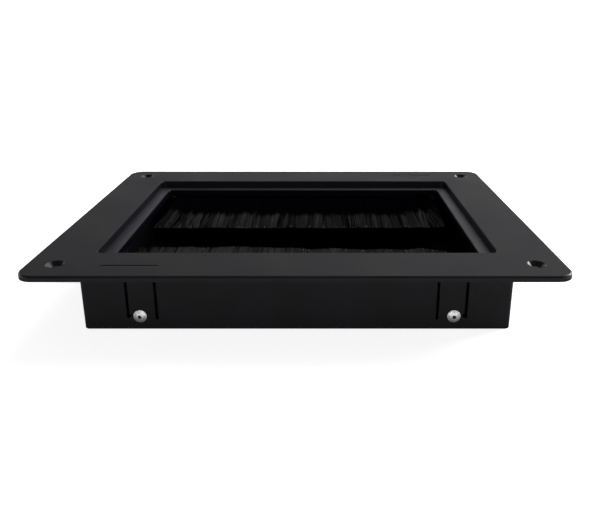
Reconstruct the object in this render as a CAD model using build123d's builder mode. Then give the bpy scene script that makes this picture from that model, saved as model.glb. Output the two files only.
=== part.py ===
"""Brush cable grommet: a flanged frame whose mouth is closed by two strip brushes, one above the other.

Millimetres, +Z up. The origin is the centre of the four screw holes, in the plane of the
flange's underside. X runs along the two brushes, and the front of the frame faces -Y.
"""

import os
from random import Random

from build123d import *

# Flange: the plate that lies on the panel
flange_length = 251.5
flange_width = 185.0
flange_thickness = 2.8
flange_corner = 8.0
flange_edge_round = 1.1

# Screw holes through the flange, for countersunk screws
screw_inset = 13.75
screw_bore = 4.5
screw_head = 8.6
screw_cone_angle = 90.0

# Sunken ledge round the mouth, and the lip that hangs from its inner edge
border = 27.8
recess_depth = 4.4
recess_corner = 3.0
ledge_width = 6.5
ledge_thickness = 2.2
mouth_corner = 2.0
lip_thickness = 2.0
lip_drop = 2.1
edge_ease = 0.4

# Skirt: the wall that goes down into the cut-out of the panel
skirt_setback = 20.5
skirt_drop = 34.7
skirt_wall = 2.5
skirt_corner = 3.0

# Tabs in the two long walls, each between a pair of slots, with a rivet low down
tab_inset = 29.6
tab_width = 12.6
slot_width = 1.4
slot_foot = 5.0
outer_slot_foot = 5.8
slot_hook = 1.5
rivet_height = 7.0
rivet_offset = 1.2

# Sunken marks on the flange, one at the front left and one at the rear right
mark_length = 27.0
mark_width = 2.4
mark_depth = 0.25
mark_inset = 11.5

# Blind rivets
rivet_shank = 3.2
rivet_head_overhang = 1.65
rivet_head_height = 1.2
rivet_rim = 0.4
rivet_bevel_width = 1.1
rivet_bevel_rise = 0.5
rivet_bulge = 0.7
rivet_bulb_length = 3.0
rivet_clearance = 0.05
mandrel_bore = 1.8
mandrel_clearance = 0.03
mandrel_recess = 0.8
mandrel_head_overhang = 0.65
mandrel_head_length = 1.6

# Holders: extruded strips with a flat leg on the skirt and a channel along the leg's top edge
holder_end_gap = 9.5
holder_leg = 1.5
holder_foot = 1.5
holder_wall = 1.0
holder_lip = 0.9
holder_lip_reach = 0.5

# The front brush lies just above its rivets, and the rear brush just under the mouth's lip
front_brush_gap = 1.75
rear_brush_gap = 0.25

# Strip brushes: a steel channel folded over the bristles, which are bent round a core wire
strip_end_gap = 1.0
strip_depth = 5.2
strip_wall = 0.6
strip_clearance = 0.1
wire_diameter = 1.6
bristle_fold = 0.95
bristle_fit = 0.05
bristle_end_gap = 4.5

# Tufts: the bristles part into locks with uneven ends
cable_slit = 4.8
tuft_pitch = 4.2
tuft_parting = 0.35
root_depth = 12.0
tip_unevenness = 1.6
tip_slant = 0.25
tuft_lean = 1.1
tuft_seed = 8

# Worked out from the sizes above
skirt_length = flange_length - 2 * skirt_setback
skirt_width = flange_width - 2 * skirt_setback
skirt_inner_length = skirt_length - 2 * skirt_wall
skirt_inner_width = skirt_width - 2 * skirt_wall
recess_length = flange_length - 2 * border
recess_width = flange_width - 2 * border
mouth_length = recess_length - 2 * ledge_width
mouth_width = recess_width - 2 * ledge_width
ledge_top = flange_thickness - recess_depth
ledge_underside = ledge_top - ledge_thickness
lip_underside = ledge_underside - lip_drop
tab_position = skirt_length / 2 - tab_inset
rivet_z = rivet_height - skirt_drop
rivet_x = tab_position + rivet_offset
rivet_spots = [("left", -rivet_x), ("right", rivet_x)]
grip = skirt_wall + holder_leg
holder_length = skirt_inner_length - 2 * holder_end_gap
strip_length = holder_length - 2 * strip_end_gap
row_length = strip_length - 2 * bristle_end_gap
tuft_count = round(row_length / tuft_pitch)
bristle_half = wire_diameter / 2 + bristle_fold
strip_height = 2 * (bristle_half + bristle_fit + strip_wall)
channel_half = strip_height / 2 + strip_clearance
wall_face = skirt_inner_width / 2
leg_face = wall_face - holder_leg
strip_back = leg_face - strip_clearance
holder_mouth = strip_back - strip_depth - strip_clearance - holder_lip
wire_y = strip_back - strip_wall - bristle_fit - bristle_half
rivet_top = rivet_z + rivet_shank / 2 + rivet_bulge
front_level = rivet_top + front_brush_gap + holder_wall + channel_half
rear_level = lip_underside - rear_brush_gap - bristle_half
brushes = [("front", -1, front_level), ("rear", 1, rear_level)]


def box_ring(outer, inner, outer_corner, inner_corner):
    """Draws a rounded rectangular ring on the sketch in hand."""
    RectangleRounded(*outer, outer_corner)
    RectangleRounded(*inner, inner_corner, mode=Mode.SUBTRACT)


def cross_section(side, level):
    """A strip's section plane: local x points out to the wall, and y is 0 at the brush's level."""
    return Plane(origin=(0, 0, level), x_dir=(0, side, 0), z_dir=(side, 0, 0))


def rivet_plane(x, side):
    """A plane through a rivet's axis, at the skirt's outer face: local y points outwards."""
    return Plane(origin=(x, side * skirt_width / 2, rivet_z), x_dir=(1, 0, 0), z_dir=(0, 0, side))


# The frame is one moulding: flange, sunken ledge, lip and skirt.
with BuildPart() as frame:
    # The flange is a flat plate with its upper rim rounded over.
    with BuildSketch():
        RectangleRounded(flange_length, flange_width, flange_corner)
    extrude(amount=flange_thickness)
    fillet(frame.edges().group_by(Axis.Z)[-1], flange_edge_round)

    # The skirt's four walls hang from the flange, solid under the ledge for now.
    with BuildSketch():
        RectangleRounded(skirt_length, skirt_width, skirt_corner)
    extrude(amount=ledge_underside)
    with BuildSketch(Plane.XY.offset(ledge_underside)):
        box_ring(
            (skirt_length, skirt_width),
            (skirt_inner_length, skirt_inner_width),
            skirt_corner,
            max(skirt_corner - skirt_wall, edge_ease),
        )
    extrude(amount=-(skirt_drop + ledge_underside))

    # The ledge is sunk into the flange, and the mouth is cut through it.
    with BuildSketch(Plane.XY.offset(flange_thickness)):
        RectangleRounded(recess_length, recess_width, recess_corner)
    extrude(amount=-recess_depth, mode=Mode.SUBTRACT)
    with BuildSketch(Plane.XY.offset(ledge_top)):
        RectangleRounded(mouth_length, mouth_width, mouth_corner)
    extrude(amount=-ledge_thickness, mode=Mode.SUBTRACT)

    # A short lip hangs from the ledge's inner edge all round.
    with BuildSketch(Plane.XY.offset(ledge_underside)):
        box_ring(
            (mouth_length + 2 * lip_thickness, mouth_width + 2 * lip_thickness),
            (mouth_length, mouth_width),
            mouth_corner + lip_thickness,
            mouth_corner,
        )
    extrude(amount=-lip_drop)

    # Cables pass over the recess's edge and the ledge's edge, so both are eased.
    top_face = frame.faces().filter_by(Axis.Z).sort_by(Axis.Z)[-1]
    chamfer(top_face.inner_wires()[0].edges(), edge_ease)
    ledge_face = frame.faces().filter_by(Axis.Z).filter_by_position(
        Axis.Z, ledge_top - edge_ease / 2, ledge_top + edge_ease / 2
    )[0]
    chamfer(ledge_face.inner_wires()[0].edges(), edge_ease)

    # Four countersunk screw holes stand at the same inset from both edges.
    with Locations(Plane.XY.offset(flange_thickness)):
        with GridLocations(flange_length - 2 * screw_inset, flange_width - 2 * screw_inset, 2, 2):
            CounterSinkHole(
                screw_bore / 2,
                screw_head / 2,
                depth=2 * flange_thickness,
                counter_sink_angle=screw_cone_angle,
            )

    # Two plain sunken marks lie just outside the line of the screw holes, each over a rivet.
    mark_y = flange_width / 2 - mark_inset
    with BuildSketch(Plane.XY.offset(flange_thickness)):
        with Locations((-rivet_x, -mark_y), (rivet_x, mark_y)):
            SlotOverall(mark_length, mark_width)
    extrude(amount=-mark_depth, mode=Mode.SUBTRACT)

    # Slots free a tab on each side of both long walls, and a rivet hole goes through each tab.
    slot_offset = (tab_width + slot_width) / 2
    for side in (-1, 1):
        outer_face = Plane(
            origin=(0, side * skirt_width / 2, 0), x_dir=(-side, 0, 0), z_dir=(0, side, 0)
        )
        with BuildSketch(outer_face):
            for end in (-1, 1):
                for offset, foot in ((-slot_offset, slot_foot), (slot_offset, outer_slot_foot)):
                    x = end * (tab_position + offset)
                    tip = foot + slot_width / 2 - skirt_drop
                    with Locations((x, tip / 2)):
                        Rectangle(slot_width, -tip)
                    with Locations((x, tip)):
                        Circle(slot_width / 2)
                hook_x = end * (tab_position + slot_offset - slot_hook / 2)
                with Locations((hook_x, outer_slot_foot + slot_width - skirt_drop)):
                    Rectangle(slot_hook, slot_width)
                with Locations((end * rivet_x, rivet_z)):
                    Circle(rivet_shank / 2 + rivet_clearance)
        extrude(amount=-skirt_wall, mode=Mode.SUBTRACT)


def make_holder(side, level):
    """An extruded strip: a flat leg on the skirt's inner face, and a channel open to the mouth."""
    leg_foot = holder_foot - skirt_drop - level
    top = channel_half + holder_wall
    with BuildPart() as holder:
        with BuildSketch(cross_section(side, level)):
            with Locations(((wall_face + leg_face) / 2, (top + leg_foot) / 2)):
                Rectangle(holder_leg, top - leg_foot)
            with Locations(((holder_mouth + leg_face) / 2, 0)):
                Rectangle(leg_face - holder_mouth, 2 * top)
            with Locations(((holder_mouth + holder_lip + leg_face) / 2, 0)):
                Rectangle(leg_face - holder_mouth - holder_lip, 2 * channel_half, mode=Mode.SUBTRACT)
            with Locations((holder_mouth + holder_lip / 2, 0)):
                Rectangle(holder_lip, 2 * (channel_half - holder_lip_reach), mode=Mode.SUBTRACT)
        extrude(amount=holder_length / 2, both=True)

        # The leg is drilled for the two rivets.
        with BuildSketch(Plane.XZ):
            with Locations(*[(x, rivet_z) for end_name, x in rivet_spots]):
                Circle(rivet_shank / 2 + rivet_clearance)
        extrude(amount=-side * skirt_width, mode=Mode.SUBTRACT)
    return holder.part


def make_strip_channel(side, level):
    """The brush's own steel channel, folded over the bristles' roots."""
    with BuildPart() as channel:
        with BuildSketch(cross_section(side, level)):
            with Locations((strip_back - strip_depth / 2, 0)):
                Rectangle(strip_depth, strip_height)
            with Locations((strip_back - strip_wall - strip_depth / 2, 0)):
                Rectangle(strip_depth, strip_height - 2 * strip_wall, mode=Mode.SUBTRACT)
        extrude(amount=strip_length / 2, both=True)
    return channel.part


def make_core_wire(side, level):
    """The wire that the bristles are bent round, lying along the strip's channel."""
    with BuildPart() as wire:
        with BuildSketch(cross_section(side, level)):
            with Locations((wire_y, 0)):
                Circle(wire_diameter / 2)
        extrude(amount=strip_length / 2, both=True)
    return wire.part


def row_outline(side, layer):
    """One layer's outline: straight roots, and locks that lean together and end unevenly."""
    chance = Random(tuft_seed + 2 * side + layer)
    pitch = row_length / tuft_count
    partings = [index * pitch - row_length / 2 for index in range(tuft_count + 1)]
    leans = [chance.uniform(-tuft_lean, tuft_lean) for parting in partings]
    corners = [(row_length / 2, side * wire_y), (-row_length / 2, side * wire_y)]
    for index in range(tuft_count):
        left = partings[index] + leans[index] + tuft_parting
        right = partings[index + 1] + leans[index + 1] - tuft_parting
        tip = cable_slit / 2 + chance.uniform(0, tip_unevenness)
        slant = chance.uniform(-tip_slant, tip_slant)
        corners.append((max(left, -row_length / 2), side * (tip - slant)))
        corners.append((min(right, row_length / 2), side * (tip + slant)))
        if index < tuft_count - 1:
            corners.append((partings[index + 1], side * (wire_y - root_depth)))
    return corners


def make_bristles(side, level):
    """One row of bristles: two layers of locks that share a root bent round the wire."""
    with BuildPart() as bristles:
        for layer in (-1, 1):
            with BuildSketch(Plane.XY.offset(level)):
                with BuildLine():
                    Polyline(*row_outline(side, layer), close=True)
                make_face()
            extrude(amount=layer * bristle_half)

        # The root is round where the bristles turn back on themselves.
        with BuildSketch(cross_section(side, level)):
            with Locations((wire_y, 0)):
                Circle(bristle_half)
        extrude(amount=row_length / 2, both=True)
        with BuildSketch(cross_section(side, level)):
            with Locations((wire_y, 0)):
                Circle(wire_diameter / 2 + bristle_fit)
        extrude(amount=row_length / 2, both=True, mode=Mode.SUBTRACT)
    return bristles.part


def make_rivet(x, side):
    """A set blind rivet's body: raised head outside, hollow shank, bulb behind the holder's leg."""
    plane = rivet_plane(x, side)
    bore = mandrel_bore / 2
    shank = rivet_shank / 2
    head = shank + rivet_head_overhang
    bulb = shank + rivet_bulge
    end = -grip - rivet_bulb_length
    with BuildPart() as rivet:
        with BuildSketch(plane):
            with BuildLine():
                Polyline(
                    (bore, rivet_head_height),
                    (bore, end),
                    (shank, end),
                    (bulb, -grip),
                    (shank, -grip),
                    (shank, 0),
                    (head, 0),
                    (head, rivet_rim),
                    (head - rivet_bevel_width, rivet_rim + rivet_bevel_rise),
                    close=True,
                )
            make_face()
        revolve(axis=Axis(plane.origin, plane.y_dir))
    return rivet.part


def make_mandrel(x, side):
    """What stays of the rivet's pulling pin: a broken stem and its head behind the bulb."""
    plane = rivet_plane(x, side)
    stem = mandrel_bore / 2 - mandrel_clearance
    head = mandrel_bore / 2 + mandrel_head_overhang
    seat = -grip - rivet_bulb_length
    with BuildPart() as mandrel:
        with BuildSketch(plane):
            with BuildLine():
                Polyline(
                    (0, rivet_head_height - mandrel_recess),
                    (stem, rivet_head_height - mandrel_recess),
                    (stem, seat),
                    (head, seat),
                    (stem, seat - mandrel_head_length),
                    (0, seat - mandrel_head_length),
                    close=True,
                )
            make_face()
        revolve(axis=Axis(plane.origin, plane.y_dir))
    return mandrel.part


pieces = {"frame": frame.part}
for side_name, side, level in brushes:
    pieces[f"{side_name}_brush_holder"] = make_holder(side, level)
    pieces[f"{side_name}_strip_channel"] = make_strip_channel(side, level)
    pieces[f"{side_name}_core_wire"] = make_core_wire(side, level)
    pieces[f"{side_name}_bristles"] = make_bristles(side, level)
    for end_name, x in rivet_spots:
        pieces[f"{side_name}_{end_name}_rivet"] = make_rivet(x, side)
        pieces[f"{side_name}_{end_name}_mandrel"] = make_mandrel(x, side)

os.makedirs("parts", exist_ok=True)
for name, piece in pieces.items():
    piece.label = name
    export_step(piece, f"parts/{name}.step")
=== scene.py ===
import math

import bpy
import numpy as np
from mathutils import Euler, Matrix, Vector


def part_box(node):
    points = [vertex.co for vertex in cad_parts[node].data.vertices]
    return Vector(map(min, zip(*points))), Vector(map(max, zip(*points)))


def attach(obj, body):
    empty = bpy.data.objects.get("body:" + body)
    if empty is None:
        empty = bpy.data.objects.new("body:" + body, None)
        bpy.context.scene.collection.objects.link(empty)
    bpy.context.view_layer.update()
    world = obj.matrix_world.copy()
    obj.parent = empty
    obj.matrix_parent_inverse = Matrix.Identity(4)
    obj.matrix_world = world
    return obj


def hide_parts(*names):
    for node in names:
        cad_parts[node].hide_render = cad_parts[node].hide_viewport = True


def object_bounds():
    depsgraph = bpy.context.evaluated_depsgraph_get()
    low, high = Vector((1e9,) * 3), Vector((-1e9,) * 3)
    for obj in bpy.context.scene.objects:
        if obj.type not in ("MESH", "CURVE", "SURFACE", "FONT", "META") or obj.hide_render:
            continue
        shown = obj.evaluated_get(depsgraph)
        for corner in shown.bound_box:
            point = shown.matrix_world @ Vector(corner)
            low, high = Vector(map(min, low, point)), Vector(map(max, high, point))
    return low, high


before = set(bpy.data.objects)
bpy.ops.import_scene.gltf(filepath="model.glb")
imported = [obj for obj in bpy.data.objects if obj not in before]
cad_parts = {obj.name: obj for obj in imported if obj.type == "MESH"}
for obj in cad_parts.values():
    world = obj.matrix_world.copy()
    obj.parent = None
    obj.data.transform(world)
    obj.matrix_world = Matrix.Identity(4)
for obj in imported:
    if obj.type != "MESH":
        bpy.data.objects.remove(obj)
cad_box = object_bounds()
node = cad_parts


# The frame is one moulding in black plastic: a thin flange, a sunken ledge round the mouth
# and a skirt. Its flat faces have the fine matt grain of a spark-eroded tool, and its corners
# and screw holes are smooth. Cables have rubbed the ledge, and little light reaches the mouth.
# The screw holes, corners, rim rounding, slots, marks and the walls and lip in the mouth have
# darker colours that are painted shade.
GRAIN_SIZE = 0.00045
GRAIN_STRENGTH = 0.6
CLOUD_SIZE = 0.03
FRAME_BLACK = (0.0176, 0.0175, 0.0179, 1.0)
FRAME_WORN = (0.0232, 0.0222, 0.0262, 1.0)
LEDGE_BLACK = (0.0165, 0.0142, 0.02, 1.0)
LEDGE_WORN = (0.022, 0.0196, 0.027, 1.0)
# The darker colours below are painted shade, deepest on the lip
PAINTED_SHADE_BLACK = (0.0035, 0.0025, 0.0055, 1.0)
PAINTED_SHADE_WORN = (0.006, 0.005, 0.009, 1.0)
LIP_PAINTED_SHADE_BLACK = (0.0012, 0.0006, 0.0026, 1.0)
LIP_PAINTED_SHADE_WORN = (0.0024, 0.0012, 0.005, 1.0)
NOISE_MIDDLE = (0.3, 0.7)
SEED_STEP = (1.0, 1.7, 0.6)


def start_material(name, colour, roughness, metallic=0.0):
    """A new node material with its shader set, the material's node tree and the shader."""
    material = bpy.data.materials.new(name)
    material.use_nodes = True
    tree = material.node_tree
    shader = tree.nodes["Principled BSDF"]
    shader.inputs["Base Color"].default_value = colour
    shader.inputs["Roughness"].default_value = roughness
    shader.inputs["Metallic"].default_value = metallic
    return material, tree, shader


def stretched_noise(tree, size, stretch=(1.0, 1.0, 1.0), detail=3.0, seed=0.0):
    """Noise whose grains are about size metres across, drawn out along the axes by stretch."""
    place = tree.nodes.new("ShaderNodeTexCoord")
    mapping = tree.nodes.new("ShaderNodeMapping")
    mapping.inputs["Scale"].default_value = [1.0 / (size * k) for k in stretch]
    mapping.inputs["Location"].default_value = [seed * k for k in SEED_STEP]
    noise = tree.nodes.new("ShaderNodeTexNoise")
    noise.inputs["Scale"].default_value = 1.0
    noise.inputs["Detail"].default_value = detail
    tree.links.new(place.outputs["Object"], mapping.inputs["Vector"])
    tree.links.new(mapping.outputs["Vector"], noise.inputs["Vector"])
    return noise.outputs["Fac"]


def spread(tree, value, low, high):
    """Maps the middle of a noise to the range low to high."""
    ramp = tree.nodes.new("ShaderNodeMapRange")
    ramp.inputs["From Min"].default_value = NOISE_MIDDLE[0]
    ramp.inputs["From Max"].default_value = NOISE_MIDDLE[1]
    ramp.inputs["To Min"].default_value = low
    ramp.inputs["To Max"].default_value = high
    tree.links.new(value, ramp.inputs["Value"])
    return ramp.outputs["Result"]


def feed(tree, value, socket):
    """Links value to the socket if it is a node's output, and else sets it there."""
    if isinstance(value, bpy.types.NodeSocket):
        tree.links.new(value, socket)
    else:
        socket.default_value = value


def mix_colours(tree, factor, first, second):
    """A colour between first and second, by factor."""
    mix = tree.nodes.new("ShaderNodeMix")
    mix.data_type = "RGBA"
    feed(tree, first, mix.inputs["A"])
    feed(tree, second, mix.inputs["B"])
    tree.links.new(factor, mix.inputs["Factor"])
    return mix.outputs["Result"]


def raise_surface(tree, shader, height, depth, strength):
    """Bumps the shader's normal by a height map that stands depth metres at most."""
    bump = tree.nodes.new("ShaderNodeBump")
    bump.inputs["Strength"].default_value = strength
    bump.inputs["Distance"].default_value = depth
    tree.links.new(height, bump.inputs["Height"])
    tree.links.new(bump.outputs["Normal"], shader.inputs["Normal"])


def moulded_plastic(name, black, worn, specular, roughness, grain_depth):
    """Black plastic, a little worn in clouds, with the tool's grain in it."""
    material, tree, shader = start_material(name, black, roughness[0])
    shader.inputs["Specular IOR Level"].default_value = specular
    grain = stretched_noise(tree, GRAIN_SIZE, detail=2.0)
    cloud = stretched_noise(tree, CLOUD_SIZE, detail=4.0, seed=3.0)
    colour = mix_colours(tree, spread(tree, cloud, 0.0, 1.0), black, worn)
    tree.links.new(colour, shader.inputs["Base Color"])
    tree.links.new(spread(tree, cloud, *roughness), shader.inputs["Roughness"])
    raise_surface(tree, shader, grain, grain_depth, GRAIN_STRENGTH)
    return material


finishes = (
    moulded_plastic(
        "grained_plastic", FRAME_BLACK, FRAME_WORN,
        specular=0.06, roughness=(0.56, 0.66), grain_depth=0.00004,
    ),
    moulded_plastic(
        "rubbed_plastic", LEDGE_BLACK, LEDGE_WORN,
        specular=0.12, roughness=(0.44, 0.54), grain_depth=0.00003,
    ),
    # Smooth, with its colour darkened as painted shade
    moulded_plastic(
        "polished_plastic_in_painted_shade", PAINTED_SHADE_BLACK, PAINTED_SHADE_WORN,
        specular=0.3, roughness=(0.2, 0.34), grain_depth=0.000004,
    ),
    # Painted shade for the slots, the marks, the rim's rounding and the mouth's walls
    moulded_plastic(
        "plastic_in_painted_shade", PAINTED_SHADE_BLACK, PAINTED_SHADE_WORN,
        specular=0.1, roughness=(0.4, 0.5), grain_depth=0.00001,
    ),
    # The deepest painted shade, for the lip under the ledge
    moulded_plastic(
        "lip_plastic_in_painted_shade", LIP_PAINTED_SHADE_BLACK, LIP_PAINTED_SHADE_WORN,
        specular=0.03, roughness=(0.5, 0.6), grain_depth=0.00001,
    ),
)
GRAINED, RUBBED, POLISHED_IN_PAINTED_SHADE, IN_PAINTED_SHADE, ON_LIP_IN_PAINTED_SHADE = range(len(finishes))

# Insets from the flange's edge
RIM_INSET = 0.006
SCREW_INSET = 0.01375
SKIRT_INSET = 0.0205
RECESS_INSET = 0.0273
LIP_INSET = 0.032
# Other sizes of the moulding that tell its faces apart
SKIRT_WALL = 0.0025
WALL_MARGIN = 0.0001
SLOT_REACH = 0.09
SLOT_TOP = -0.001
HOLE_REACH = 0.005
MARK_DEPTHS = (0.0001, 0.0004)
# The upward or sideways part of a face's normal
FLAT_UP = 0.97
RIM_TURN = 0.8
UPRIGHT = 0.1
CORNER_TURN = 0.12

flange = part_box("frame")[1]
skirt_face = flange.y - SKIRT_INSET
screw_x = flange.x - SCREW_INSET
screw_y = flange.y - SCREW_INSET
screws = [Vector((x, y)) for x in (-screw_x, screw_x) for y in (-screw_y, screw_y)]


def within(x, y, inset):
    """Whether a place is at least inset inside the flange's edge."""
    return x < flange.x - inset and y < flange.y - inset


def finish_of(face):
    """Which finish a face of the moulding has, by where it lies and how it turns."""
    x, y, z = abs(face.center.x), abs(face.center.y), face.center.z
    slope = abs(face.normal.z)
    turning = min(abs(face.normal.x), abs(face.normal.y)) > CORNER_TURN
    at_mouth = within(x, y, RECESS_INSET)
    at_rim = not within(x, y, RIM_INSET)
    in_hole = min((face.center.xy - screw).length for screw in screws) < HOLE_REACH
    in_wall = skirt_face - SKIRT_WALL + WALL_MARGIN < y < skirt_face - WALL_MARGIN and z < SLOT_TOP
    in_slot = in_wall and x < SLOT_REACH and abs(face.normal.y) < UPRIGHT
    at_mark_level = MARK_DEPTHS[0] < flange.z - z < MARK_DEPTHS[1]
    in_mark = at_mark_level and not (at_mouth or at_rim or in_hole)
    # Holes, corners, slots, marks, the rim's rounding and the mouth's walls and lip get painted shade
    if in_slot or in_mark:
        return IN_PAINTED_SHADE
    if slope >= FLAT_UP:
        return RUBBED if at_mouth and face.normal.z > 0 else GRAINED
    if in_hole or (at_rim and turning and slope > UPRIGHT):
        return POLISHED_IN_PAINTED_SHADE
    if at_rim:
        return IN_PAINTED_SHADE if UPRIGHT < slope < RIM_TURN else GRAINED
    if at_mouth and turning:
        return POLISHED_IN_PAINTED_SHADE
    if at_mouth and slope <= UPRIGHT:
        return ON_LIP_IN_PAINTED_SHADE if within(x, y, LIP_INSET) else IN_PAINTED_SHADE
    return GRAINED


moulding = node["frame"].data
moulding.materials.clear()
for finish in finishes:
    moulding.materials.append(finish)
for face in moulding.polygons:
    face.material_index = finish_of(face)


# The brush holders are extruded strips of black anodised aluminium. Their legs are riveted
# to the skirt's long walls, and the channel along the top edge grips the strip brush.
def dress(name, material):
    """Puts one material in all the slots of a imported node."""
    mesh = node[name].data
    mesh.materials.clear()
    mesh.materials.append(material)


def anodised_aluminium():
    """Matt black, with fine lines along the extrusion."""
    black = (0.004, 0.004, 0.0045, 1.0)
    material, tree, shader = start_material("anodised_aluminium", black, roughness=0.6)
    shader.inputs["Specular IOR Level"].default_value = 0.0
    lines = stretched_noise(tree, 0.0003, stretch=(60.0, 1.0, 1.0), detail=2.0)
    tree.links.new(spread(tree, lines, 0.55, 0.68), shader.inputs["Roughness"])
    raise_surface(tree, shader, lines, depth=0.00001, strength=0.5)
    return material


anodised = anodised_aluminium()
for side in ("front", "rear"):
    dress(f"{side}_brush_holder", anodised)


# Each strip brush has a channel of zinc-plated steel strip, rolled over the bristles' roots
# round a drawn steel core wire. Both lie inside the holder. The channel's zinc is painted dark,
# as painted shade.
def plated_steel_in_painted_shade():
    """Zinc painted dark as painted shade, clouded along the strip."""
    zinc_in_painted_shade = (0.1, 0.1, 0.11, 1.0)
    dull_zinc_in_painted_shade = (0.06, 0.06, 0.065, 1.0)
    material, tree, shader = start_material("plated_steel_in_painted_shade", zinc_in_painted_shade, roughness=0.5, metallic=1.0)
    cloud = stretched_noise(tree, 0.004, stretch=(3.0, 1.0, 1.0))
    shade = mix_colours(tree, spread(tree, cloud, 0.0, 1.0), zinc_in_painted_shade, dull_zinc_in_painted_shade)
    tree.links.new(shade, shader.inputs["Base Color"])
    tree.links.new(spread(tree, cloud, 0.42, 0.6), shader.inputs["Roughness"])
    return material


def drawn_wire():
    """Bare steel, with the die's lines along the wire."""
    steel = (0.46, 0.46, 0.47, 1.0)
    material, tree, shader = start_material("drawn_wire", steel, roughness=0.3, metallic=1.0)
    lines = stretched_noise(tree, 0.0002, stretch=(80.0, 1.0, 1.0))
    tree.links.new(spread(tree, lines, 0.24, 0.4), shader.inputs["Roughness"])
    return material


plated_in_painted_shade = plated_steel_in_painted_shade()
drawn = drawn_wire()
for side in ("front", "rear"):
    dress(f"{side}_strip_channel", plated_in_painted_shade)
    dress(f"{side}_core_wire", drawn)


# The bristles are black nylon filaments, laid straight at the roots and ruffled by use at the
# tips, where they settle, part into locks that lean and cross, and end unevenly. Each row is
# one mesh, whose UV map says how light a filament is, across, and how far from its tip, up.
# The roots are painted nearly black as painted shade, and the ruffled tips greyer as painted light.
FILAMENTS = 5400
FILAMENT_RADIUS = 0.00016
FILAMENT_RINGS = 7
FILAMENT_SIDES = 3
RING_CROWDING = 0.75
ROOT_SEAT = 0.0018
TIP_SETBACK = 0.0002

# Locks: how many a layer has, how wide they are, and what differs from lock to lock
LAYERS = 3
LAYER_FILL = (0.05, 0.95)
LOCKS = 240
LOCK_WIDTHS = (0.0007, 0.0034)
LOCK_SHIFT = 0.002
TOUSLED_FROM = 0.066
TOUSLED_OVER = 0.02
LEAN_WAVE = 0.0014
LEAN_WAVE_LENGTHS = (0.061, 0.023, 0.012)
LEAN_SPREAD = 0.0009
LEAN_SPREAD_AT_END = 0.003
SPLAY_OVER = 0.012
CURL_SPREAD = 0.0003
CURL_SPREAD_AT_END = 0.0011
CURL_TURN = 9.0
PULL_RANGE = (0.15, 0.8)
LIFT_SPREAD = 0.0004
TIP_WAVE = 0.0004
TIP_WAVE_LENGTHS = (0.053, 0.019)
TIP_SPREAD = 0.0003
SHADE_MIDDLE = 0.45
SHADE_SPREAD = 0.25
SHADE_WAVE = 0.12
SHADE_WAVE_LENGTHS = (0.04, 0.017)
SHADE_RANGE = (0.02, 0.9)
END_SHADE_OVER = 0.009
END_SHADE_LEFT = 0.1
FRAYED_LIT_LENGTH = 0.0195
FRAYED_LIT_SPREAD = 0.08
FRAYED_LIT_MORE_AT_END = 0.45

# What differs from filament to filament, how the bends grow along them, and how the tips pile
STRAY_SHARE = 0.07
STRAY_LEAN = 0.0025
LEAN_JITTER = 0.00025
LENGTH_JITTER = 0.0004
SHADE_JITTER = 0.08
PAINTED_GLINT_TIPS = 0.03
LEAN_GROWTH = 2.2
PULL_GROWTH = 2.5
CURL_GROWTH = 2
SAG_GROWTH = 2.5
PILE_BASE = 0.00015
PILE_THICKNESS = 0.07
PILE_LIFT = 0.35


def waves(x, lengths, rng):
    """A smooth random function of x, about 1 high, from sine waves of the given lengths."""
    total = np.zeros_like(x)
    for length in lengths:
        total += np.sin(2 * np.pi * (x / length + rng.random()))
    return total / math.sqrt(len(lengths))


def part_into_locks(root_x, layer, start, rng):
    """Each filament's lock: every layer parts at random places of its own."""
    lock = np.zeros(FILAMENTS, dtype=int)
    for k in range(LAYERS):
        partings = start + np.cumsum(rng.uniform(*LOCK_WIDTHS, LOCKS)) - LOCK_SHIFT * rng.random()
        here = layer == k
        lock[here] = k * LOCKS + np.clip(np.searchsorted(partings, root_x[here]), 0, LOCKS - 1)
    return lock


def rod_mesh(name, x, y, z, shade, frayed_lit):
    """One mesh of bent rods. Row i of x, y and z holds the rings of rod i, from root to tip."""
    rods, rings = x.shape
    corners = []
    for k in range(FILAMENT_SIDES):
        angle = 2 * math.pi * k / FILAMENT_SIDES
        across = x + FILAMENT_RADIUS * math.cos(angle)
        upright = z + FILAMENT_RADIUS * math.sin(angle)
        corners.append(np.stack([across, y, upright], axis=-1))
    points = np.stack(corners, axis=2).reshape(-1, 3)
    rod = (np.arange(rods) * rings * FILAMENT_SIDES)[:, None, None]
    ring = (np.arange(rings - 1) * FILAMENT_SIDES)[None, :, None]
    spoke = np.arange(FILAMENT_SIDES)[None, None, :]
    near = rod + ring + spoke
    beside = rod + ring + (spoke + 1) % FILAMENT_SIDES
    quads = np.stack([near, beside, beside + FILAMENT_SIDES, near + FILAMENT_SIDES], axis=-1).reshape(-1, 4)
    mesh = bpy.data.meshes.new(name)
    mesh.vertices.add(len(points))
    mesh.vertices.foreach_set("co", points.ravel())
    mesh.loops.add(quads.size)
    mesh.loops.foreach_set("vertex_index", quads.ravel())
    mesh.polygons.add(len(quads))
    mesh.polygons.foreach_set("loop_start", np.arange(len(quads)) * 4)
    strand = np.stack([np.repeat(shade[:, None], rings, axis=1), frayed_lit], axis=-1)
    strand = np.repeat(strand.reshape(-1, 1, 2), FILAMENT_SIDES, axis=1).reshape(-1, 2)
    mesh.uv_layers.new(name="strand").data.foreach_set("uv", strand[quads.ravel()].ravel())
    mesh.update(calc_edges=True)
    mesh.shade_smooth()
    return mesh


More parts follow.
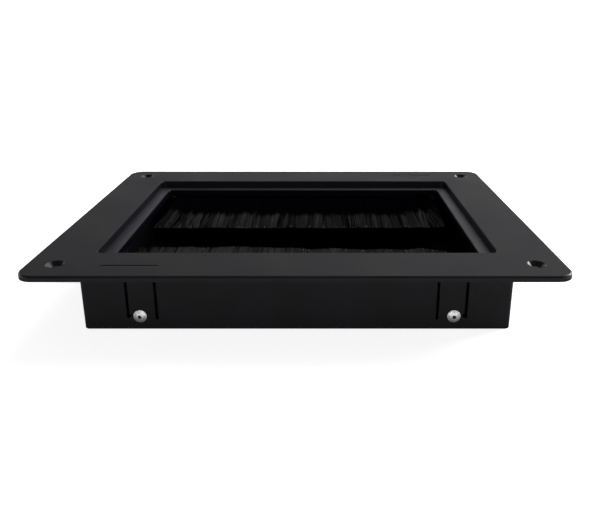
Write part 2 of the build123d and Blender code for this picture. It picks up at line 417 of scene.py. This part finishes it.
def filament_row(side, seed, ends, wear, splay, tousled, settling, contrast):
    """All the filaments of one row, as three-sided rods bent along their length.

    wear is what the tips have lost along the row. splay is how far the left end leans out, and
    tousled how ruffled both ends are. The tips settle down, or up where settling is below 0,
    and contrast is how much the locks differ in shade.
    """
    rng = np.random.default_rng(seed)
    low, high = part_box(f"{side}_bristles")
    outward = -1.0 if side == "front" else 1.0
    root_y = max(abs(low.y), abs(high.y)) - ROOT_SEAT
    tip_y = min(abs(low.y), abs(high.y)) + TIP_SETBACK
    height = high.z - low.z

    root_x = rng.uniform(*ends, FILAMENTS)
    layer = rng.integers(0, LAYERS, FILAMENTS)
    lock = part_into_locks(root_x, layer, ends[0], rng)

    # What the filaments of a lock share
    total = LAYERS * LOCKS
    centre = np.bincount(lock, root_x, total) / np.maximum(np.bincount(lock, minlength=total), 1)
    ruffled = tousled * np.clip((np.abs(centre) - TOUSLED_FROM) / TOUSLED_OVER, 0.0, 1.0)
    lock_lean = LEAN_WAVE * waves(centre, LEAN_WAVE_LENGTHS, rng)
    lock_lean += rng.normal(0.0, LEAN_SPREAD + LEAN_SPREAD_AT_END * ruffled, total)
    lock_lean -= splay * np.clip(1.0 - (centre - ends[0]) / SPLAY_OVER, 0.0, 1.0)
    lock_curl = rng.normal(0.0, CURL_SPREAD + CURL_SPREAD_AT_END * ruffled, total)
    lock_twist = rng.uniform(0.0, 2 * np.pi, total)
    lock_pull = rng.uniform(*PULL_RANGE, total)
    lock_lift = np.abs(rng.normal(0.0, LIFT_SPREAD, total))
    tip_wave = TIP_WAVE * waves(centre, TIP_WAVE_LENGTHS, rng)
    lock_tip = np.abs(tip_wave + rng.normal(0.0, TIP_SPREAD, total)) + np.interp(centre, *zip(*wear))
    lock_shade = rng.normal(0.0, SHADE_SPREAD, total)
    lock_shade += SHADE_WAVE * waves(centre, SHADE_WAVE_LENGTHS, rng)
    lock_shade = np.clip(SHADE_MIDDLE + contrast * lock_shade, *SHADE_RANGE)
    # Locks near the row's ends are painted darker, as painted shade from the end walls
    from_end = np.minimum(centre - ends[0], ends[1] - centre)
    lock_shade *= np.clip(from_end / END_SHADE_OVER, END_SHADE_LEFT, 1.0)
    lock_frayed_lit = 1.0 + rng.normal(0.0, FRAYED_LIT_SPREAD, total) + FRAYED_LIT_MORE_AT_END * ruffled

    # Each filament's path, from its root to its tip
    along = np.linspace(0.0, 1.0, FILAMENT_RINGS)[None, :] ** RING_CROWDING
    stray = rng.random(FILAMENTS) < STRAY_SHARE
    lean = lock_lean[lock] + rng.normal(0.0, LEAN_JITTER, FILAMENTS)
    lean += stray * rng.normal(0.0, STRAY_LEAN, FILAMENTS)
    pull = (centre[lock] - root_x) * lock_pull[lock]
    curl = np.sin(CURL_TURN * along + lock_twist[lock][:, None])
    x = root_x[:, None] + lean[:, None] * along**LEAN_GROWTH + pull[:, None] * along**PULL_GROWTH
    x += lock_curl[lock][:, None] * along**CURL_GROWTH * curl
    tip = tip_y + lock_tip[lock] + np.abs(rng.normal(0.0, LENGTH_JITTER, FILAMENTS))
    y = root_y + (tip - root_y)[:, None] * along
    level = (layer + rng.uniform(*LAYER_FILL, FILAMENTS)) / LAYERS * height
    pile = PILE_BASE + PILE_THICKNESS * level + PILE_LIFT * lock_lift[lock]
    if settling < 0:
        pile = height - pile
    sag = abs(settling) * along**SAG_GROWTH
    z = low.z + level[:, None] * (1.0 - sag) + pile[:, None] * sag
    x = np.clip(x, ends[0] - splay, high.x)
    z = np.clip(z, low.z + FILAMENT_RADIUS, high.z - FILAMENT_RADIUS)

    shade = lock_shade[lock] + rng.normal(0.0, SHADE_JITTER * contrast, FILAMENTS)
    shade = np.clip(shade, 0.0, SHADE_RANGE[1])
    # A few filaments get a painted glint at their cut ends
    shade[rng.random(FILAMENTS) < PAINTED_GLINT_TIPS] = 1.0
    # How far into the tip zone that is painted lighter, as painted light
    frayed_lit = (y - tip[:, None]) / (FRAYED_LIT_LENGTH * lock_frayed_lit[lock][:, None])
    mesh = rod_mesh(f"{side}_filaments", x, outward * y, z, shade, frayed_lit)
    row = bpy.data.objects.new(f"{side}_filaments", mesh)
    bpy.context.scene.collection.objects.link(row)
    return row


def grey(level):
    """A neutral colour of the given level."""
    return (level, level, level, 1.0)


def step(tree, operation, first, second=0.0):
    """One Math node's result, for sockets or plain numbers."""
    maths = tree.nodes.new("ShaderNodeMath")
    maths.operation = operation
    feed(tree, first, maths.inputs[0])
    feed(tree, second, maths.inputs[1])
    return maths.outputs["Value"]


def ease(tree, value, start, end, low=0.0, high=1.0):
    """Takes value from low at start to high at end, with a soft start and a soft end."""
    ramp = tree.nodes.new("ShaderNodeMapRange")
    ramp.interpolation_type = "SMOOTHSTEP"
    ramp.inputs["From Min"].default_value = start
    ramp.inputs["From Max"].default_value = end
    ramp.inputs["To Min"].default_value = low
    ramp.inputs["To Max"].default_value = high
    tree.links.new(value, ramp.inputs["Value"])
    return ramp.outputs["Result"]


NYLON_PAINTED_SHADE = grey(0.0014)
PAINTED_GLINT_NYLON = grey(0.2)
PAINTED_GLINT_REACH = 0.09
PAINTED_GLINT_SHADE = 0.95
FRAYED_LIT_FADE = (1.15, 0.8)


def black_nylon(name, frayed_lit, frayed_lit_pale):
    """Black nylon: painted shade at the roots, painted light on the tips, painted glints at a few ends."""
    material, tree, shader = start_material(name, NYLON_PAINTED_SHADE, roughness=0.7)
    shader.inputs["Specular IOR Level"].default_value = 0.0
    strand = tree.nodes.new("ShaderNodeUVMap")
    strand.uv_map = "strand"
    split = tree.nodes.new("ShaderNodeSeparateXYZ")
    tree.links.new(strand.outputs["UV"], split.inputs["Vector"])
    shade, up = split.outputs["X"], split.outputs["Y"]
    lit_tips = mix_colours(tree, shade, frayed_lit, frayed_lit_pale)
    length = mix_colours(tree, ease(tree, up, *FRAYED_LIT_FADE), NYLON_PAINTED_SHADE, lit_tips)
    at_painted_glint = step(tree, "LESS_THAN", up, PAINTED_GLINT_REACH)
    painted_glint = step(tree, "GREATER_THAN", shade, PAINTED_GLINT_SHADE)
    colour = mix_colours(tree, step(tree, "MULTIPLY", at_painted_glint, painted_glint), length, PAINTED_GLINT_NYLON)
    tree.links.new(colour, shader.inputs["Base Color"])
    return material


# The front row is worn most at the right, and its left end splays out. Places are along X.
FRONT_WEAR = (
    (-0.091, 0.0025), (-0.085, 0.0), (-0.074, 0.0009), (-0.065, 0.0), (-0.056, 0.0014),
    (-0.046, 0.0), (-0.036, -0.0004), (-0.022, 0.0012), (-0.009, 0.002), (-0.002, 0.0015),
    (0.006, 0.005), (0.018, 0.0025), (0.032, 0.0048), (0.05, 0.004), (0.062, 0.0052),
    (0.07, 0.0022), (0.078, 0.0055), (0.086, 0.008),
)
REAR_WEAR = (
    (-0.088, 0.004), (-0.083, 0.0005), (-0.07, 0.0), (-0.052, 0.0012), (-0.034, 0.0),
    (-0.012, 0.0009), (0.016, 0.0), (0.04, 0.0012), (0.056, 0.0), (0.07, 0.002),
    (0.079, 0.001), (0.088, 0.006),
)
# The rear row's tips are painted darker than the front row's, as painted shade
nylons = {
    "front": black_nylon("front_nylon", grey(0.012), grey(0.07)),
    "rear": black_nylon("rear_nylon", grey(0.002), grey(0.045)),
}
rows = {
    "front": filament_row(
        "front", seed=11, ends=(-0.0905, 0.0862), wear=FRONT_WEAR,
        splay=0.0065, tousled=0.3, settling=-0.8, contrast=0.55,
    ),
    "rear": filament_row(
        "rear", seed=29, ends=(-0.0874, 0.0872), wear=REAR_WEAR,
        splay=0.001, tousled=1.0, settling=1.0, contrast=1.0,
    ),
}
for side, filaments in rows.items():
    filaments.data.materials.append(nylons[side])
    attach(filaments, "root")
    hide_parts(f"{side}_bristles")


# Four aluminium blind rivets hold the brush holders in the tabs. The pulled pin has broken
# off inside each head. Its steel end and the bore round it are painted dark as painted shade,
# and show as a dark spot in the middle.
def rivet_aluminium():
    """Plain aluminium, dulled and dented by the setting tool."""
    bright = (0.78, 0.78, 0.79, 1.0)
    dull = (0.5, 0.5, 0.51, 1.0)
    material, tree, shader = start_material("rivet_aluminium", bright, roughness=0.32, metallic=1.0)
    marks = stretched_noise(tree, 0.0009, detail=5.0)
    shade = mix_colours(tree, spread(tree, marks, 0.0, 1.0), bright, dull)
    tree.links.new(shade, shader.inputs["Base Color"])
    tree.links.new(spread(tree, marks, 0.42, 0.6), shader.inputs["Roughness"])
    raise_surface(tree, shader, marks, depth=0.00006, strength=0.5)
    return material


def broken_steel_in_painted_shade():
    """Steel painted dark as the shade in the rivet head, rough where the pin has broken."""
    dark_grey = (0.05, 0.05, 0.055, 1.0)
    material, tree, shader = start_material("broken_steel_in_painted_shade", dark_grey, roughness=0.5, metallic=1.0)
    marks = stretched_noise(tree, 0.0004, detail=4.0)
    tree.links.new(spread(tree, marks, 0.35, 0.65), shader.inputs["Roughness"])
    raise_surface(tree, shader, marks, depth=0.00008, strength=0.8)
    return material


def paint_bore_shade(shell, axis, finish):
    """Gives a rivet's bore the pin's dark finish, as painted shade inside the head."""
    shell.materials.append(finish)
    for face in shell.polygons:
        off_axis = math.hypot(face.center.x - axis.x, face.center.z - axis.z)
        in_bore = off_axis < BORE_REACH and abs(face.normal.y) < BORE_TURN
        face.material_index = 1 if in_bore else 0


BORE_REACH = 0.00095
BORE_TURN = 0.5
rivet_finish = rivet_aluminium()
mandrel_finish = broken_steel_in_painted_shade()
for side in ("front", "rear"):
    for end in ("left", "right"):
        dress(f"{side}_{end}_rivet", rivet_finish)
        dress(f"{side}_{end}_mandrel", mandrel_finish)
        low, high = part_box(f"{side}_{end}_mandrel")
        paint_bore_shade(node[f"{side}_{end}_rivet"].data, (low + high) / 2, mandrel_finish)


# The setting is a white floor that curves up behind the part, as in a light tent. It is
# white to the camera and in reflections and keeps the part's faint shadow. Inside the skirt,
# where the brushes keep the light out, its paper is painted dark as painted shade.
CONTACT_SHADE = 0.06
PAPER = grey(0.8)
PAPER_IN_PAINTED_SHADE = grey(0.01)


def stage_white(name, lift):
    """Paper that also glows by lift to the camera and in reflections, away from the skirt."""
    material, tree, shader = start_material(name, PAPER, roughness=0.9)
    shader.inputs["Specular IOR Level"].default_value = 0.1
    rays = tree.nodes.new("ShaderNodeLightPath")
    glow = tree.nodes.new("ShaderNodeEmission")
    glow.inputs["Strength"].default_value = lift
    place = tree.nodes.new("ShaderNodeTexCoord")
    split = tree.nodes.new("ShaderNodeSeparateXYZ")
    tree.links.new(place.outputs["Object"], split.inputs["Vector"])

    # How far a place lies outside the middle of the skirt's wall
    middle = SKIRT_INSET + SKIRT_WALL / 2
    beyond_x = step(tree, "SUBTRACT", step(tree, "ABSOLUTE", split.outputs["X"]), flange.x - middle)
    beyond_y = step(tree, "SUBTRACT", step(tree, "ABSOLUTE", split.outputs["Y"]), flange.y - middle)
    beyond = step(tree, "MAXIMUM", beyond_x, beyond_y)
    beside = step(tree, "GREATER_THAN", beyond, 0.0)

    # In reflections the glow fades towards the skirt, a painted shadow
    opening = ease(tree, beyond, 0.0, CONTACT_SHADE)
    direct = step(tree, "MAXIMUM", rays.outputs["Is Camera Ray"], rays.outputs["Is Transmission Ray"])
    mirrored = step(tree, "MULTIPLY", rays.outputs["Is Glossy Ray"], opening)
    seen = step(tree, "MAXIMUM", step(tree, "MULTIPLY", direct, beside), mirrored)
    # Inside the skirt the paper is painted dark as painted shade
    tree.links.new(mix_colours(tree, beside, PAPER_IN_PAINTED_SHADE, PAPER), shader.inputs["Base Color"])
    either = tree.nodes.new("ShaderNodeAddShader")
    pick = tree.nodes.new("ShaderNodeMixShader")
    tree.links.new(shader.outputs["BSDF"], either.inputs[0])
    tree.links.new(glow.outputs["Emission"], either.inputs[1])
    tree.links.new(seen, pick.inputs["Fac"])
    tree.links.new(shader.outputs["BSDF"], pick.inputs[1])
    tree.links.new(either.outputs["Shader"], pick.inputs[2])
    tree.links.new(pick.outputs["Shader"], tree.nodes["Material Output"].inputs["Surface"])
    return material


FLOOR_Z = cad_box[0][2]
STAGE_HALF = 3.0
BACK_Y = 1.6
BACK_HEIGHT = 2.0
BEND = 0.3
BEND_STEPS = 12
profile = [(-STAGE_HALF, 0.0), (BACK_Y - BEND, 0.0)]
for k in range(1, BEND_STEPS + 1):
    turn = math.pi / 2 * k / BEND_STEPS
    profile.append((BACK_Y - BEND + BEND * math.sin(turn), BEND - BEND * math.cos(turn)))
profile.append((BACK_Y, BACK_HEIGHT))
corners = []
for y, z in profile:
    corners += [(-STAGE_HALF, y, FLOOR_Z + z), (STAGE_HALF, y, FLOOR_Z + z)]
faces = [(2 * k, 2 * k + 1, 2 * k + 3, 2 * k + 2) for k in range(len(profile) - 1)]
sweep = bpy.data.meshes.new("studio_sweep")
sweep.from_pydata(corners, [], faces)
sweep.shade_smooth()
studio = bpy.data.objects.new("studio_sweep", sweep)
bpy.context.scene.collection.objects.link(studio)
sweep.materials.append(stage_white("studio_white", lift=0.85))


# Three soft boxes light the part: a large one above and behind, a small one at the right
# that makes the glints, and a weak one in front, low down, for the skirt.
def soft_light(name, place, width, height, power):
    """A rectangular soft box that faces the origin."""
    lamp = bpy.data.lights.new(name, "AREA")
    lamp.shape = "RECTANGLE"
    lamp.size = width
    lamp.size_y = height
    lamp.energy = power
    box = bpy.data.objects.new(name, lamp)
    box.location = place
    box.rotation_euler = (-Vector(place)).to_track_quat("-Z", "Y").to_euler()
    bpy.context.scene.collection.objects.link(box)


soft_light("top_light", (0.35, 0.52, 0.85), width=1.0, height=0.8, power=7.6)
soft_light("side_light", (1.09, 0.49, 0.52), width=0.4, height=0.5, power=10.0)
soft_light("front_fill", (0.1, -1.4, 0.13), width=1.2, height=0.4, power=4.2)


# The room is dim, with walls that are white to the camera and in reflections up to the height
# at which the dark ceiling starts.
AIR_LIGHT = 0.12
WALL_FADE = (0.12, 0.42)
world = bpy.data.worlds.new("studio_air")
bpy.context.scene.world = world
world.use_nodes = True
room = world.node_tree
direction = room.nodes.new("ShaderNodeTexCoord")
split = room.nodes.new("ShaderNodeSeparateXYZ")
room.links.new(direction.outputs["Generated"], split.inputs["Vector"])
wall = ease(room, split.outputs["Z"], *WALL_FADE, low=1.0 - AIR_LIGHT, high=0.0)
rays = room.nodes.new("ShaderNodeLightPath")
seen = step(room, "MAXIMUM", rays.outputs["Is Camera Ray"], rays.outputs["Is Glossy Ray"])
seen = step(room, "MAXIMUM", seen, rays.outputs["Is Transmission Ray"])
strength = step(room, "ADD", step(room, "MULTIPLY", seen, wall), AIR_LIGHT)
room.links.new(strength, room.nodes["Background"].inputs["Strength"])
room.nodes["Background"].inputs["Color"].default_value = grey(1.0)


# The camera has a lens of ordinary width. It stands close in front of the part, a little above
# it and tilted down, and its picture is shifted to put the part where the photograph has it.
CAMERA_PLACE = (0.0105, -0.336, 0.1143)
CAMERA_TILT = 17.0
PHOTO_WIDTH = 596
PHOTO_HEIGHT = 508
FOCAL_PIXELS = 599.6
AXIS_PIXEL = (318.45, 196.46)
lens = bpy.data.cameras.new("camera")
lens.sensor_width = 36.0
lens.lens = lens.sensor_width * FOCAL_PIXELS / PHOTO_WIDTH
lens.shift_x = (PHOTO_WIDTH / 2 - AXIS_PIXEL[0]) / PHOTO_WIDTH
lens.shift_y = (AXIS_PIXEL[1] - PHOTO_HEIGHT / 2) / PHOTO_WIDTH
lens.clip_start = 0.01
camera = bpy.data.objects.new("camera", lens)
camera.location = CAMERA_PLACE
camera.rotation_euler = Euler((math.radians(90.0 - CAMERA_TILT), 0.0, 0.0))
bpy.context.scene.collection.objects.link(camera)
bpy.context.scene.camera = camera
bpy.context.scene.view_settings.view_transform = "Standard"
